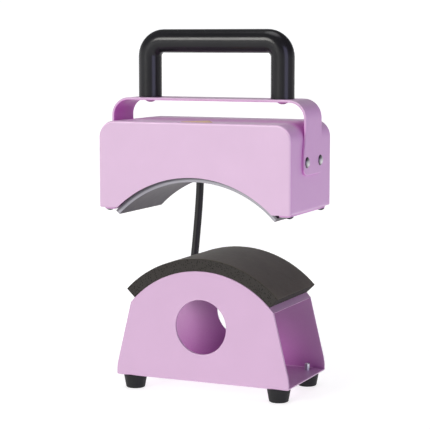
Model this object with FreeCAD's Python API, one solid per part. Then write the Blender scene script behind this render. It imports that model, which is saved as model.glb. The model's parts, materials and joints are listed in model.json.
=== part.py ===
import FreeCAD, Part
import math
import os
from FreeCAD import Vector

# Portable cap press: a hand-held heating head, held over a separate padded base, with a mains lead.
# Millimetres. +X runs along the press, +Y to its back and +Z up. The origin is the middle of the
# base's footprint, on the surface that its feet stand on. The head is drawn in its lifted place.
os.makedirs("parts", exist_ok=True)

# ---- Base: folded sheet body, arched plate, foam pad, feet
BASE_HALF_LENGTH = 86.4
BASE_HALF_DEPTH = 47.5
BASE_SHEET = 2.0
FOOT_HEIGHT = 12.7
ARCH_RADIUS = 93.7
ARCH_AXIS_Z = 22.2
SHOULDER_X = 71.6
END_CORNER_Z = 22.0
END_CORNER_RADIUS = 40.0
BEND_RADIUS = 3.0
PASSAGE_RADIUS = 25.2
PASSAGE_Z = 64.2
PAD_THICKNESS = 11.5
PAD_HALF_DEPTH = 47.2
PAD_HALF_ANGLE = 46.2
FOOT_X = 72.7
FOOT_Y = 36.1
FOOT_TOP_RADIUS = 11.1
FOOT_SOLE_RADIUS = 8.8
FOOT_RECESS_RADIUS = 5.6
FOOT_RECESS_DEPTH = 5.6
FOOT_EDGE_RADIUS = 1.4
FOOT_SCREW_RADIUS = 2.5
FOOT_SCREW_PROUD = 6.6
FOOT_SCREW_POINT = 0.7
FOOT_SCREW_HEAD = (4.6, 2.8)
CROSS_SLOT = (3.2, 0.5, 1.6)
WASHER_RADIUS = 5.3
WASHER_THICKNESS = 1.0
SOFT_EDGE = 0.6

# ---- Head: where it is held above the base, and its casing
HEAD_X = -6.6
HEAD_HALF_LENGTH = 95.6
HEAD_HALF_DEPTH = 50.8
HEAD_BOTTOM_Z = 171.0
HEAD_TOP_Z = 251.3
HEAD_SHEET = 1.5
HEAD_CORNER_RADIUS = 15.5
HEAD_EDGE_RADIUS = 2.2
HEAD_ARCH_AXIS_Z = 88.1
HEAD_ARCH_RADIUS = 113.3
END_LEDGE_X = 83.0
END_CAP_X = (82.0, 92.6)
END_CAP_HALF_DEPTH = 46.0
END_CAP_THICKNESS = 2.0
CAP_SCREW_X = 90.0
CAP_SCREW_Y = 39.6
CAP_SCREW_RADIUS = 2.0
CAP_SCREW_LENGTH = 8.0
CAP_SCREW_HEAD = (4.0, 2.0)

# ---- Heating plate and the layers stacked on its back, all around one arch axis
PLATE_INNER_RADIUS = 108.7
PLATE_OUTER_RADIUS = 113.5
PLATE_HALF_ANGLE = 45.48
PLATE_HALF_DEPTH = 45.0
HEATER_RADII = (113.5, 114.5)
BLANKET_RADII = (114.5, 119.5)
CLAMP_RADII = (119.5, 120.7)
STACK_HALF_ANGLE = 40.0
STACK_HALF_DEPTH = 41.0
SENSOR_X = 12.0
SENSOR_RADIUS = 2.5
SENSOR_Z = (190.0, 214.0)
FUSE_X = -20.0
FUSE_RADII = (3.0, 1.6)
FUSE_HALF_LENGTHS = (7.0, 10.0)
STUD_X = 62.0
STUD_Y = 28.0
STUD_RADIUS = 2.0
STUD_FOOT_Z = 180.6
STUD_TOP_Z = 210.5
SPACER_RADIUS = 4.5
SPACER_LENGTH = 18.0
M4_NUT = (7.0, 3.2)
BRACKET_Z = 203.0
BRACKET_SHEET = 2.0
BRACKET_INNER_X = 55.0
BRACKET_ARM_HALF_DEPTH = 34.0
BRACKET_FLANGE_HALF_DEPTH = 24.0
BRACKET_FLANGE_TOP_Z = 226.0

# ---- Carrying strap, rivets and handle
STRAP_SHEET = 2.3
STRAP_TOP_Z = 271.8
STRAP_BEND_RADIUS = 17.0
STRAP_HALF_WIDTH = 20.0
STRAP_FOOT_HALF_WIDTH = 24.0
STRAP_FOOT_Z = (204.5, 223.0, 241.0)
RIVET_Y = 16.8
RIVET_Z = 216.0
RIVET_RADIUS = 2.5
RIVET_HEAD = (5.0, 2.2)
RIVET_TAIL = (4.0, 1.5)
HANDLE_X = 67.2
HANDLE_RADIUS = 10.95
HANDLE_TOP_Z = 335.2
HANDLE_BEND_RADIUS = 14.5
INSERT_RADIUS = 4.5
INSERT_LENGTH = 14.0
HANDLE_SCREW_RADIUS = 3.0
HANDLE_SCREW_HEAD = (5.6, 2.6)
HANDLE_SCREW_LENGTH = 14.0

# ---- Controls on the back of the head
PANEL_HALF_LENGTH = 40.0
PANEL_Z = (215.5, 246.5)
PANEL_THICKNESS = 0.5
BUTTON_X = 24.0
CONTROL_Z = 231.0
BUTTON_RADIUS = 4.9
BUTTON_HOLE_RADIUS = 5.25
BUTTON_PROUD = 1.5
BUTTON_FLANGE = (6.5, 1.2)
BUTTON_STEM = (2.0, 2.3)
BUTTON_BACK_GAP = 1.7
LENS_SPACING = 8.0
LENS_RADIUS = 2.0
LENS_PROUD = 0.5
BOARD_Y = (38.0, 39.6)
BOARD_HALF_LENGTH = 34.0
BOARD_Z = (213.0, 247.0)
STANDOFF_X = 30.0
STANDOFF_Z = (216.5, 243.5)
BOARD_SCREW_RADIUS = 1.5
BOARD_SCREW_HEAD = (2.8, 1.8)
BOARD_SCREW_LENGTH = 6.0
SWITCH_HALF = 3.0
SWITCH_HEIGHT = 3.5
SWITCH_PLUNGER = (1.75, 1.2)
RELAY_LOW = (4.0, 22.0, 214.5)
RELAY_HIGH = (22.0, 38.0, 230.0)
TERMINAL_LOW = (-26.0, 27.0, 214.5)
TERMINAL_HIGH = (-6.0, 38.0, 225.0)
TERMINAL_SCREW = (2.0, 32.0, 221.0, 6.0)
EARTH_X = -52.0
EARTH_Z = 236.0
EARTH_STUD_Y = 38.0
EARTH_NUT_Y = 41.0
SHEATH_END_Y = 38.0
CORE_DIAMETER = 2.4

# ---- Mains lead
CORD_DIAMETER = 8.0
RELIEF_LENGTH = 25.0
EXIT_X = -80.5
EXIT_Y = HEAD_HALF_DEPTH + RELIEF_LENGTH
EXIT_Z = 222.0
CORD_ROUTE = [
    (EXIT_X, EXIT_Y, EXIT_Z),
    (-80.5, 95.2, 222.0),
    (-81.0, 113.3, 214.2),
    (-82.4, 127.2, 200.6),
    (-84.2, 134.8, 182.6),
    (-86.0, 136.0, 158.6),
    (-88.4, 134.6, 124.0),
    (-91.4, 131.4, 84.0),
    (-92.6, 127.6, 50.0),
    (-88.6, 121.2, 30.0),
    (-78.4, 110.0, 13.4),
    (-63.8, 95.2, 4.8),
    (-49.8, 81.2, 4.8),
]
COIL_INNER_RADIUS = 38.0
COIL_OUTER_RADIUS = 54.0
COIL_LIFT = 0.8
COIL_HEIGHT = 16.0
TIE_WIDTH_ANGLE = 15.0
TIE_ANGLE = 30.0
TAIL_START = 8.0
TAIL_END = 46.0
PLUG_RELIEF_LENGTH = 22.0
PLUG_BODY_LENGTH = 28.0
PLUG_HALF_WIDTH = 13.5
BLADE_LENGTH = 17.5
GROUND_PIN_LENGTH = 21.0

ALONG = Vector(1, 0, 0)
BACK = Vector(0, 1, 0)
UP = Vector(0, 0, 1)
FAR = 400.0


# ---- Drawing helpers
def facing(y):
    """Places a drawing (u, v) upright, along X and Z, at one depth."""
    return lambda u, v: Vector(u, y, v)


def sideways(x):
    """Places a drawing (u, v) upright, along Y and Z, at one length."""
    return lambda u, v: Vector(x, u, v)


def level(z):
    """Places a drawing (u, v) flat at one height."""
    return lambda u, v: Vector(u, v, z)


def outline(corners, place):
    """A closed wire through corners (u, v, radius), each rounded with a tangent arc."""
    count = len(corners)
    edges = []
    trimmed = []
    for i, (u, v, radius) in enumerate(corners):
        corner = Vector(u, v, 0)
        before = Vector(*corners[i - 1][:2], 0).sub(corner).normalize()
        after = Vector(*corners[(i + 1) % count][:2], 0).sub(corner).normalize()
        half = before.getAngle(after) / 2
        setback = radius / math.tan(half)
        start = corner.add(Vector(before).multiply(setback))
        end = corner.add(Vector(after).multiply(setback))
        middle = None
        if radius:
            inward = before.add(after).normalize()
            middle = corner.add(inward.multiply(radius / math.sin(half) - radius))
        trimmed.append((start, middle, end))
    for i, (start, middle, end) in enumerate(trimmed):
        if middle:
            bend = [place(point.x, point.y) for point in (start, middle, end)]
            edges.append(Part.Arc(*bend).toShape())
        following = trimmed[(i + 1) % count][0]
        if end.distanceToPoint(following) > 1e-6:
            edges.append(Part.LineSegment(place(end.x, end.y), place(following.x, following.y)).toShape())
    return Part.Wire(edges)


def prism(corners, place, sweep):
    """The outline's face swept along a vector."""
    return Part.Face(outline(corners, place)).extrude(sweep)


def block(low, high):
    """A box from its lowest to its highest corner."""
    size = Vector(*high).sub(Vector(*low))
    return Part.makeBox(size.x, size.y, size.z, Vector(*low))


def rod(radius, start, length, axis):
    """A round bar from a point along an axis."""
    return Part.makeCylinder(radius, length, Vector(*start), axis)


def cone(start_radius, end_radius, start, length, axis):
    """A tapered round bar from a point along an axis."""
    return Part.makeCone(start_radius, end_radius, length, Vector(*start), axis)


def arch_cylinder(radius, axis_z, half_depth=FAR):
    """A cylinder whose axis runs front to back."""
    return rod(radius, (0, -half_depth, axis_z), 2 * half_depth, BACK)


def arch_band(radii, axis_z, half_angle, half_depth):
    """A curved slab between two radii, cut square to its curve at both ends."""
    def point(radius, degrees):
        turn = math.radians(degrees)
        return Vector(radius * math.sin(turn), -half_depth, axis_z + radius * math.cos(turn))
    inner, outer = radii
    edges = [
        Part.Arc(point(outer, -half_angle), point(outer, 0), point(outer, half_angle)).toShape(),
        Part.LineSegment(point(outer, half_angle), point(inner, half_angle)).toShape(),
        Part.Arc(point(inner, half_angle), point(inner, 0), point(inner, -half_angle)).toShape(),
        Part.LineSegment(point(inner, -half_angle), point(outer, -half_angle)).toShape(),
    ]
    return Part.Face(Part.Wire(edges)).extrude(Vector(0, 2 * half_depth, 0))


def rounded_edges(shape, radius, wanted):
    """Rounds the edges that pass a test."""
    return shape.makeFillet(radius, [edge for edge in shape.Edges if wanted(edge)])


def at_depth(edge, depth):
    """Whether an edge lies wholly in the front or the back plane of that depth."""
    box = edge.BoundBox
    return box.YLength < 1e-4 and abs(abs(box.YMin) - depth) < 1e-4


def group(shapes):
    """Separate solids kept together as one piece list."""
    return Part.makeCompound(shapes)


def in_head(shape):
    """Moves a shape drawn about the head's own middle to where the head is held."""
    moved = shape.copy()
    moved.translate(Vector(HEAD_X, 0, 0))
    return moved


def corners_of(x, y):
    """The four places (x, y) around the middle."""
    return [(side * x, end * y) for side in (-1, 1) for end in (-1, 1)]


def bend_radii(points):
    """Each bend's radius: 0.45 of its shorter run over the tangent of half its turn."""
    radii = []
    for before, corner, after in zip(points, points[1:], points[2:]):
        run_in = Vector(*corner).sub(Vector(*before))
        run_out = Vector(*after).sub(Vector(*corner))
        radii.append(0.45 * min(run_in.Length, run_out.Length) / math.tan(run_in.getAngle(run_out) / 2))
    return radii


def path_of(points):
    """Straight runs joined by tangent arcs."""
    places = [Vector(*point) for point in points]
    cursor = places[0]
    edges = []
    for before, corner, after, radius in zip(places, places[1:], places[2:], bend_radii(points)):
        towards = corner.sub(before).normalize()
        away = after.sub(corner).normalize()
        half_turn = towards.getAngle(away) / 2
        setback = radius * math.tan(half_turn)
        start = corner.sub(Vector(towards).multiply(setback))
        end = corner.add(Vector(away).multiply(setback))
        inward = away.sub(towards).normalize()
        middle = corner.add(inward.multiply(radius / math.cos(half_turn) - radius))
        edges.append(Part.LineSegment(cursor, start).toShape())
        edges.append(Part.Arc(start, middle, end).toShape())
        cursor = end
    edges.append(Part.LineSegment(cursor, places[-1]).toShape())
    return Part.Wire(edges)


def tube(points, diameter):
    """A round solid along the path."""
    path = path_of(points)
    heading = Vector(*points[1]).sub(Vector(*points[0]))
    section = Part.Wire([Part.makeCircle(diameter / 2, Vector(*points[0]), heading)])
    return path.makePipeShell([section], True, False)


def hexagon(across_flats, start, length, axis):
    """A hexagonal bar from a point along an axis."""
    reach = across_flats / 2 / math.cos(math.radians(30))
    flat = [Vector(reach * math.cos(math.radians(60 * i)), reach * math.sin(math.radians(60 * i)), 0)
            for i in range(7)]
    bar = Part.Face(Part.makePolygon(flat)).extrude(Vector(0, 0, length))
    bar.Placement = FreeCAD.Placement(Vector(*start), FreeCAD.Rotation(UP, axis))
    return bar


def dome(radius, height, centre, axis):
    """A domed screw or rivet head standing on its flat face."""
    ball_radius = (radius * radius + height * height) / (2 * height)
    middle = Vector(*centre).sub(Vector(axis).multiply(ball_radius - height))
    return Part.makeSphere(ball_radius, middle).common(rod(radius, centre, height, axis))


# ---- Base
def base_shell():
    """Front, bottom and back in one folded sheet, with the round passage through both walls."""
    bottom = FOOT_HEIGHT
    outer = [(-BASE_HALF_DEPTH, bottom, BEND_RADIUS), (BASE_HALF_DEPTH, bottom, BEND_RADIUS),
             (BASE_HALF_DEPTH, FAR, 0), (-BASE_HALF_DEPTH, FAR, 0)]
    gap = BASE_HALF_DEPTH - BASE_SHEET
    floor = bottom + BASE_SHEET
    inner_bend = BEND_RADIUS - BASE_SHEET
    inner = [(-gap, floor, inner_bend), (gap, floor, inner_bend), (gap, FAR, 0), (-gap, FAR, 0)]
    start = sideways(-BASE_HALF_LENGTH)
    sweep = ALONG * (2 * BASE_HALF_LENGTH)
    channel = prism(outer, start, sweep).cut(prism(inner, start, sweep))
    shoulder_z = ARCH_AXIS_Z + math.sqrt(ARCH_RADIUS ** 2 - SHOULDER_X ** 2)
    right = [(BASE_HALF_LENGTH, bottom, 2.0), (BASE_HALF_LENGTH, END_CORNER_Z, END_CORNER_RADIUS),
             (SHOULDER_X, shoulder_z, 0), (SHOULDER_X, FAR, 0)]
    left = [(-u, v, radius) for u, v, radius in reversed(right)]
    side_view = prism(right + left, facing(-BASE_HALF_DEPTH), BACK * (2 * BASE_HALF_DEPTH))
    side_view = side_view.common(arch_cylinder(ARCH_RADIUS, ARCH_AXIS_Z))
    side_view = side_view.cut(arch_cylinder(PASSAGE_RADIUS, PASSAGE_Z))
    side_view = rounded_edges(side_view, SOFT_EDGE, lambda edge: at_depth(edge, BASE_HALF_DEPTH))
    shell = channel.common(side_view)
    for x, y in corners_of(FOOT_X, FOOT_Y):
        shell = shell.cut(rod(FOOT_SCREW_RADIUS, (x, y, 0), 2 * floor, UP))
    return shell


def base_arch_plate():
    """The curved sheet that closes the top of the base between its walls."""
    half_angle = math.degrees(math.asin(SHOULDER_X / ARCH_RADIUS))
    radii = (ARCH_RADIUS - BASE_SHEET, ARCH_RADIUS)
    return arch_band(radii, ARCH_AXIS_Z, half_angle, BASE_HALF_DEPTH - BASE_SHEET)


def foam_pad():
    """The soft pad glued over the arch."""
    radii = (ARCH_RADIUS, ARCH_RADIUS + PAD_THICKNESS)
    return arch_band(radii, ARCH_AXIS_Z, PAD_HALF_ANGLE, PAD_HALF_DEPTH)


def foot(x, y):
    """A tapered rubber foot with a recess for its screw."""
    body = cone(FOOT_SOLE_RADIUS, FOOT_TOP_RADIUS, (x, y, 0), FOOT_HEIGHT, UP)
    body = rounded_edges(body, FOOT_EDGE_RADIUS, lambda edge: edge.BoundBox.ZMax < 1e-4)
    body = body.cut(rod(FOOT_RECESS_RADIUS, (x, y, -1), FOOT_RECESS_DEPTH + 1, UP))
    return body.cut(rod(FOOT_SCREW_RADIUS, (x, y, 0), FOOT_HEIGHT, UP))


def foot_washer(x, y):
    """A steel washer in the foot's recess."""
    z = FOOT_RECESS_DEPTH - WASHER_THICKNESS
    hole = rod(FOOT_SCREW_RADIUS, (x, y, z), WASHER_THICKNESS, UP)
    return rod(WASHER_RADIUS, (x, y, z), WASHER_THICKNESS, UP).cut(hole)


def foot_screw(x, y):
    """A pan-head screw up through the foot and the tapped floor of the base."""
    head_top = FOOT_RECESS_DEPTH - WASHER_THICKNESS
    head_radius, head_height = FOOT_SCREW_HEAD
    head_bottom = head_top - head_height
    head = rod(head_radius, (x, y, head_bottom), head_height, UP)
    head = rounded_edges(head, 1.2, lambda edge: edge.BoundBox.ZMax < head_bottom + 0.1)
    reach, half_width, depth = CROSS_SLOT
    low_z, high_z = head_bottom - 1, head_bottom + depth
    slot = block((x - reach, y - half_width, low_z), (x + reach, y + half_width, high_z))
    cross = block((x - half_width, y - reach, low_z), (x + half_width, y + reach, high_z))
    point_z = FOOT_HEIGHT + BASE_SHEET + FOOT_SCREW_PROUD - FOOT_SCREW_POINT
    shank = rod(FOOT_SCREW_RADIUS, (x, y, head_top), point_z - head_top, UP)
    tip_radius = FOOT_SCREW_RADIUS - FOOT_SCREW_POINT
    point = cone(FOOT_SCREW_RADIUS, tip_radius, (x, y, point_z), FOOT_SCREW_POINT, UP)
    return head.cut(slot).cut(cross).fuse(shank).fuse(point).removeSplitter()


# ---- Head casing
def head_block(half_length, half_depth, bottom, top, corner_radius, edge_radius):
    """A box with two rounded top corners and softened front and back edges."""
    corners = [(-half_length, bottom, 0), (half_length, bottom, 0), (half_length, top, corner_radius),
               (-half_length, top, corner_radius)]
    solid = prism(corners, facing(-half_depth), BACK * (2 * half_depth))
    return rounded_edges(solid, edge_radius,
                         lambda edge: at_depth(edge, half_depth) and edge.BoundBox.ZMax > bottom + 0.01)


def housing():
    """The sheet casing: arched cut-outs front and back, ledges at both ends, holes for what it carries."""
    sheet = HEAD_SHEET
    shell = head_block(HEAD_HALF_LENGTH, HEAD_HALF_DEPTH, HEAD_BOTTOM_Z, HEAD_TOP_Z, HEAD_CORNER_RADIUS,
                       HEAD_EDGE_RADIUS)
    room = head_block(HEAD_HALF_LENGTH - sheet, HEAD_HALF_DEPTH - sheet, HEAD_BOTTOM_Z - 20,
                      HEAD_TOP_Z - sheet, HEAD_CORNER_RADIUS - sheet, HEAD_EDGE_RADIUS - sheet)
    shell = shell.cut(room)
    for side in (-1, 1):
        ledge_ends = sorted((side * END_LEDGE_X, side * (HEAD_HALF_LENGTH - HEAD_SHEET)))
        ledge = block((ledge_ends[0], -HEAD_HALF_DEPTH + HEAD_SHEET, HEAD_BOTTOM_Z),
                      (ledge_ends[1], HEAD_HALF_DEPTH - HEAD_SHEET, HEAD_BOTTOM_Z + HEAD_SHEET))
        shell = shell.fuse(ledge)
    soft_feet = [(-HEAD_HALF_LENGTH, HEAD_BOTTOM_Z, 2.5), (HEAD_HALF_LENGTH, HEAD_BOTTOM_Z, 2.5),
                 (HEAD_HALF_LENGTH, FAR, 0), (-HEAD_HALF_LENGTH, FAR, 0)]
    shell = shell.common(prism(soft_feet, facing(-FAR), BACK * (2 * FAR)))
    shell = shell.cut(arch_cylinder(HEAD_ARCH_RADIUS, HEAD_ARCH_AXIS_Z))
    for x, y in corners_of(CAP_SCREW_X, CAP_SCREW_Y):
        shell = shell.cut(rod(CAP_SCREW_RADIUS, (x, y, HEAD_BOTTOM_Z - 5), 12, UP))
    for y in (-RIVET_Y, RIVET_Y):
        shell = shell.cut(rod(RIVET_RADIUS, (-FAR, y, RIVET_Z), 2 * FAR, ALONG))
    for cutter in rear_wall_cutters():
        shell = shell.cut(cutter)
    return shell.removeSplitter()


def rear_wall_cutters():
    """The holes through the back wall for the buttons, lenses and lead."""
    start = HEAD_HALF_DEPTH - 5
    holes = [(side * BUTTON_X, CONTROL_Z, BUTTON_HOLE_RADIUS) for side in (-1, 1)]
    holes += [(step * LENS_SPACING, CONTROL_Z, LENS_RADIUS + 0.1) for step in (-1, 0, 1)]
    holes.append((EXIT_X - HEAD_X, EXIT_Z, 7.0))
    return [rod(radius, (x, start, z), 10, BACK) for x, z, radius in holes]


def end_cap(side):
    """The strip that closes the bottom between the casing's end and the heating plate."""
    low, high = sorted((side * END_CAP_X[0], side * END_CAP_X[1]))
    depth = END_CAP_HALF_DEPTH
    corners = [(low, -depth, 2.0), (high, -depth, 2.0), (high, depth, 2.0), (low, depth, 2.0)]
    underside = HEAD_BOTTOM_Z - END_CAP_THICKNESS
    strip = prism(corners, level(underside), UP * END_CAP_THICKNESS)
    strip = rounded_edges(strip, SOFT_EDGE, lambda edge: edge.BoundBox.ZMax < underside + 1e-4)
    for y in (-CAP_SCREW_Y, CAP_SCREW_Y):
        strip = strip.cut(rod(CAP_SCREW_RADIUS, (side * CAP_SCREW_X, y, HEAD_BOTTOM_Z - 5), 10, UP))
    return strip


def end_cap_screw(x, y):
    """A domed screw up through an end cap into the casing's ledge."""
    z = HEAD_BOTTOM_Z - END_CAP_THICKNESS
    shank = rod(CAP_SCREW_RADIUS, (x, y, z), CAP_SCREW_LENGTH, UP)
    return dome(*CAP_SCREW_HEAD, (x, y, z), UP * -1).fuse(shank).removeSplitter()


# ---- Heating plate and its stack
def heat_plate():
    """The arched aluminium plate, with blind holes in its back for four studs."""
    radii = (PLATE_INNER_RADIUS, PLATE_OUTER_RADIUS)
    plate = arch_band(radii, HEAD_ARCH_AXIS_Z, PLATE_HALF_ANGLE, PLATE_HALF_DEPTH)
    inner_top = HEAD_ARCH_AXIS_Z + PLATE_INNER_RADIUS

    def is_working_edge(edge):
        arc = edge.Curve.TypeId == "Part::GeomCircle"
        return arc and at_depth(edge, PLATE_HALF_DEPTH) and edge.BoundBox.ZMax < inner_top + 0.01

    plate = rounded_edges(plate, 1.6, is_working_edge)
    return plate.cut(stack_drill())


def stack_drill():
    """The four stud holes, through every layer and part of the way into the plate."""
    return group([rod(STUD_RADIUS, (x, y, STUD_FOOT_Z), 40, UP) for x, y in corners_of(STUD_X, STUD_Y)])


def stack_layer(radii, half_depth):
    """One curved layer behind the plate, open for the studs and the temperature sensor."""
    layer = arch_band(radii, HEAD_ARCH_AXIS_Z, STACK_HALF_ANGLE, half_depth)
    return layer.cut(stack_drill()).cut(rod(SENSOR_RADIUS + 0.1, (SENSOR_X, 0, SENSOR_Z[0]), 40, UP))


def temperature_sensor():
    """The probe that touches the plate through the stack."""
    bottom, top = SENSOR_Z
    probe = rod(SENSOR_RADIUS, (SENSOR_X, 0, bottom), top - bottom, UP)
    probe = probe.cut(arch_cylinder(PLATE_OUTER_RADIUS, HEAD_ARCH_AXIS_Z))
    return probe.fuse(hexagon(8.0, (SENSOR_X, 0, top - 4.0), 2.5, UP)).removeSplitter()


def thermal_fuse():
    """The cut-out that lies on the clamp sheet."""
    body_radius, neck_radius = FUSE_RADII
    body_half, neck_half = FUSE_HALF_LENGTHS
    z = HEAD_ARCH_AXIS_Z + math.sqrt((CLAMP_RADII[1] + body_radius) ** 2 - FUSE_X ** 2)
    body = rod(body_radius, (FUSE_X, -body_half, z), 2 * body_half, BACK)
    return body.fuse(rod(neck_radius, (FUSE_X, -neck_half, z), 2 * neck_half, BACK)).removeSplitter()


def support_bracket(side):
    """A steel angle riveted inside the casing's end, whose arm carries two studs."""
    wall = HEAD_HALF_LENGTH - HEAD_SHEET
    low, high = sorted((side * BRACKET_INNER_X, side * wall))
    depth = BRACKET_ARM_HALF_DEPTH
    arm = block((low, -depth, BRACKET_Z), (high, depth, BRACKET_Z + BRACKET_SHEET))
    low, high = sorted((side * (wall - BRACKET_SHEET), side * wall))
    depth = BRACKET_FLANGE_HALF_DEPTH
    flange = block((low, -depth, BRACKET_Z), (high, depth, BRACKET_FLANGE_TOP_Z))
    bracket = arm.fuse(flange).removeSplitter().cut(stack_drill())
    for y in (-RIVET_Y, RIVET_Y):
        bracket = bracket.cut(rod(RIVET_RADIUS, (-FAR, y, RIVET_Z), 2 * FAR, ALONG))
    return bracket


def support_stud(x, y):
    """A threaded stud standing in the plate's back."""
    return rod(STUD_RADIUS, (x, y, STUD_FOOT_Z), STUD_TOP_Z - STUD_FOOT_Z, UP)


def stud_spacer(x, y):
    """A ceramic tube between the clamp sheet and a bracket's arm, shaped to the sheet's curve."""
    bottom = (x, y, BRACKET_Z - SPACER_LENGTH)
    spacer = rod(SPACER_RADIUS, bottom, SPACER_LENGTH, UP).cut(rod(STUD_RADIUS, bottom, SPACER_LENGTH, UP))
    return spacer.cut(arch_cylinder(CLAMP_RADII[1], HEAD_ARCH_AXIS_Z))


def stud_nut(x, y):
    """A nut that pulls a stud up to its bracket."""
    across_flats, height = M4_NUT
    seat = (x, y, BRACKET_Z + BRACKET_SHEET)
    return hexagon(across_flats, seat, height, UP).cut(rod(STUD_RADIUS, seat, height, UP))


# ---- Strap, rivets, handle
def strap_bracket():
    """The bent strap over the casing, wider at its two riveted feet."""
    inner_half = HEAD_HALF_LENGTH
    outer_half = inner_half + STRAP_SHEET
    inner_radius = STRAP_BEND_RADIUS - STRAP_SHEET
    start = facing(-STRAP_FOOT_HALF_WIDTH)
    sweep = BACK * (2 * STRAP_FOOT_HALF_WIDTH)
    foot_z, flare_z, neck_z = STRAP_FOOT_Z
    outer = [(-outer_half, foot_z, 0), (outer_half, foot_z, 0), (outer_half, STRAP_TOP_Z, STRAP_BEND_RADIUS),
             (-outer_half, STRAP_TOP_Z, STRAP_BEND_RADIUS)]
    inner = [(-inner_half, foot_z - 1, 0), (inner_half, foot_z - 1, 0),
             (inner_half, STRAP_TOP_Z - STRAP_SHEET, inner_radius),
             (-inner_half, STRAP_TOP_Z - STRAP_SHEET, inner_radius)]
    strap = prism(outer, start, sweep).cut(prism(inner, start, sweep))
    right = [(STRAP_FOOT_HALF_WIDTH, foot_z, 7.0), (STRAP_FOOT_HALF_WIDTH, flare_z, 12.0),
             (STRAP_HALF_WIDTH, neck_z, 12.0), (STRAP_HALF_WIDTH, STRAP_TOP_Z, 0)]
    left = [(-u, v, radius) for u, v, radius in reversed(right)]
    strap = strap.common(prism(right + left, sideways(-FAR), ALONG * (2 * FAR)))
    for y in (-RIVET_Y, RIVET_Y):
        strap = strap.cut(rod(RIVET_RADIUS, (-FAR, y, RIVET_Z), 2 * FAR, ALONG))
    for x in (-HANDLE_X, HANDLE_X):
        strap = strap.cut(rod(HANDLE_SCREW_RADIUS, (x, 0, STRAP_TOP_Z - 6), 12, UP))
    return rounded_edges(strap, SOFT_EDGE, lambda edge: at_depth(edge, STRAP_HALF_WIDTH) and edge.Length > 30)


def strap_rivet(side, y):
    """A domed rivet through strap, casing and bracket, upset inside."""
    outer_face = HEAD_HALF_LENGTH + STRAP_SHEET
    inner_face = HEAD_HALF_LENGTH - HEAD_SHEET - BRACKET_SHEET
    outward = ALONG * side
    tail_radius, tail_height = RIVET_TAIL
    head = dome(*RIVET_HEAD, (side * outer_face, y, RIVET_Z), outward)
    shank = rod(RIVET_RADIUS, (side * inner_face, y, RIVET_Z), outer_face - inner_face, outward)
    tail = rod(tail_radius, (side * (inner_face - tail_height), y, RIVET_Z), tail_height, outward)
    return head.fuse(shank).fuse(tail).removeSplitter()


def handle():
    """The bent round bar, drilled at both feet for its inserts."""
    axis_top = HANDLE_TOP_Z - HANDLE_RADIUS
    bend = HANDLE_BEND_RADIUS
    shoulder = bend * (1 - math.cos(math.radians(45)))

    def corner(side):
        return [Vector(side * HANDLE_X, 0, axis_top - bend),
                Vector(side * (HANDLE_X - shoulder), 0, axis_top - shoulder),
                Vector(side * (HANDLE_X - bend), 0, axis_top)]

    left, right = corner(-1), corner(1)
    path = Part.Wire([
        Part.LineSegment(Vector(-HANDLE_X, 0, STRAP_TOP_Z), left[0]).toShape(),
        Part.Arc(*left).toShape(),
        Part.LineSegment(left[2], right[2]).toShape(),
        Part.Arc(*reversed(right)).toShape(),
        Part.LineSegment(right[0], Vector(HANDLE_X, 0, STRAP_TOP_Z)).toShape(),
    ])
    section = Part.Wire([Part.makeCircle(HANDLE_RADIUS, Vector(-HANDLE_X, 0, STRAP_TOP_Z), UP)])
    bar = path.makePipeShell([section], True, False)
    for x in (-HANDLE_X, HANDLE_X):
        bar = bar.cut(rod(INSERT_RADIUS, (x, 0, STRAP_TOP_Z - 1), INSERT_LENGTH + 3, UP))
    return bar


def handle_insert(x):
    """A threaded brass sleeve moulded into the handle's foot."""
    sleeve = rod(INSERT_RADIUS, (x, 0, STRAP_TOP_Z + 0.2), INSERT_LENGTH, UP)
    return sleeve.cut(rod(HANDLE_SCREW_RADIUS, (x, 0, STRAP_TOP_Z), INSERT_LENGTH + 1, UP))


def handle_screw(x):
    """The screw from under the strap into the handle."""
    z = STRAP_TOP_Z - STRAP_SHEET
    head = dome(*HANDLE_SCREW_HEAD, (x, 0, z), UP * -1)
    return head.fuse(rod(HANDLE_SCREW_RADIUS, (x, 0, z), HANDLE_SCREW_LENGTH, UP)).removeSplitter()


def top_label():
    """A blank triangular sticker on the top of the casing."""
    corners = [(-17.5, -43.0, 2.5), (17.0, -43.0, 2.5), (-0.25, -12.5, 2.5)]
    return prism(corners, level(HEAD_TOP_Z), UP * 0.2)


# ---- Controls
def control_panel():
    """The thin plate around the controls."""
    bottom, top = PANEL_Z
    half = PANEL_HALF_LENGTH
    corners = [(-half, bottom, 4), (half, bottom, 4), (half, top, 4), (-half, top, 4)]
    panel = prism(corners, facing(HEAD_HALF_DEPTH), BACK * PANEL_THICKNESS)
    for cutter in rear_wall_cutters()[:-1]:
        panel = panel.cut(cutter)
    return panel


def button(x):
    """A push button held by its flange behind the casing's back wall."""
    wall = HEAD_HALF_DEPTH - HEAD_SHEET
    face = HEAD_HALF_DEPTH + PANEL_THICKNESS + BUTTON_PROUD
    inner_end = wall - BUTTON_BACK_GAP
    cap = rod(BUTTON_RADIUS, (x, inner_end, CONTROL_Z), face - inner_end, BACK)
    cap = rounded_edges(cap, 0.8, lambda edge: edge.BoundBox.YMin > face - 1e-4)
    flange_radius, flange_thickness = BUTTON_FLANGE
    stem_radius, stem_length = BUTTON_STEM
    flange = rod(flange_radius, (x, inner_end, CONTROL_Z), flange_thickness, BACK)
    stem = rod(stem_radius, (x, inner_end - stem_length + 0.1, CONTROL_Z), stem_length, BACK)
    return cap.fuse(flange).fuse(stem).removeSplitter()


def indicator_lens(x):
    """A light guide from the board out through the panel."""
    face = HEAD_HALF_DEPTH + PANEL_THICKNESS + LENS_PROUD
    guide = rod(LENS_RADIUS, (x, BOARD_Y[1] + 1.0, CONTROL_Z), face - BOARD_Y[1] - 1.0, BACK)
    return rounded_edges(guide, LENS_PROUD, lambda edge: edge.BoundBox.YMin > face - 1e-4)


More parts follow.
